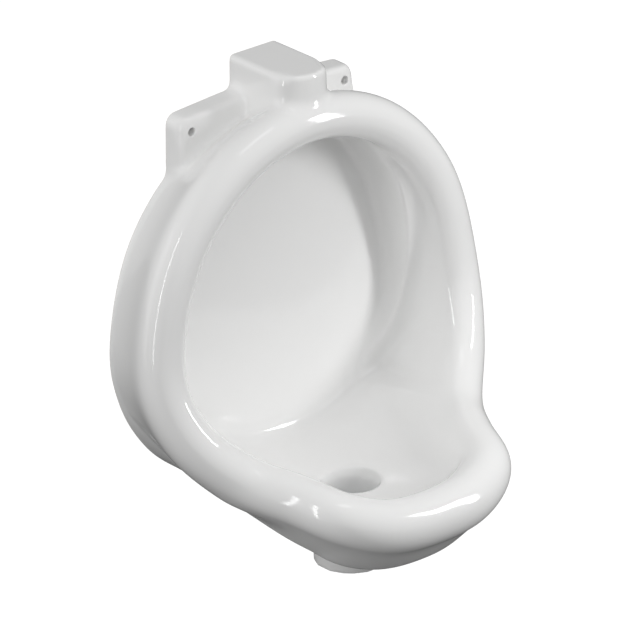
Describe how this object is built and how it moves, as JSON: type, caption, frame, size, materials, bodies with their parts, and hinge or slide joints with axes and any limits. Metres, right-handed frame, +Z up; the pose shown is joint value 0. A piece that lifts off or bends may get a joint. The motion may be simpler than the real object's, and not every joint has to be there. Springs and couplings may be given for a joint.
{
  "type": "waterless wall urinal",
  "caption": "White vitreous china wall urinal with a rolled rim, fixing ears, a blank top block, a waste spigot and a drop-in waterless valve cartridge.",
  "frame": {"origin": "on the wall plane, midway between the centres of the two fixing holes", "axes": "+Z up, +Y into the wall, -Y towards the user, +X to the right of a user who faces the bowl"},
  "size_m": [0.4392, 0.2953, 0.51],
  "materials": {
    "china": "glossy white glaze",
    "plastic": "satin moulded plastic",
    "seal_rubber": "matt",
    "ball_plastic": "smooth"
  },
  "bodies": {
    "china": {"bowl": "china", "spigot": "china"},
    "cartridge": {"cartridge_body": "plastic", "upper_seal": "seal_rubber", "lower_seal": "seal_rubber", "strainer": "plastic", "ball_guide": "plastic", "valve_seat": "seal_rubber", "clamp_ring": "plastic"},
    "ball": {"float_ball": "ball_plastic"}
  },
  "joints": [
    {"name": "cartridge_lift", "type": "slide", "parent": "china", "child": "cartridge", "axis": [0, 0, 1], "range_m": [0, 0.1]},
    {"name": "ball_float", "type": "slide", "parent": "cartridge", "child": "ball", "axis": [0, 0, 1], "range_m": [0, 0.007]}
  ]
}
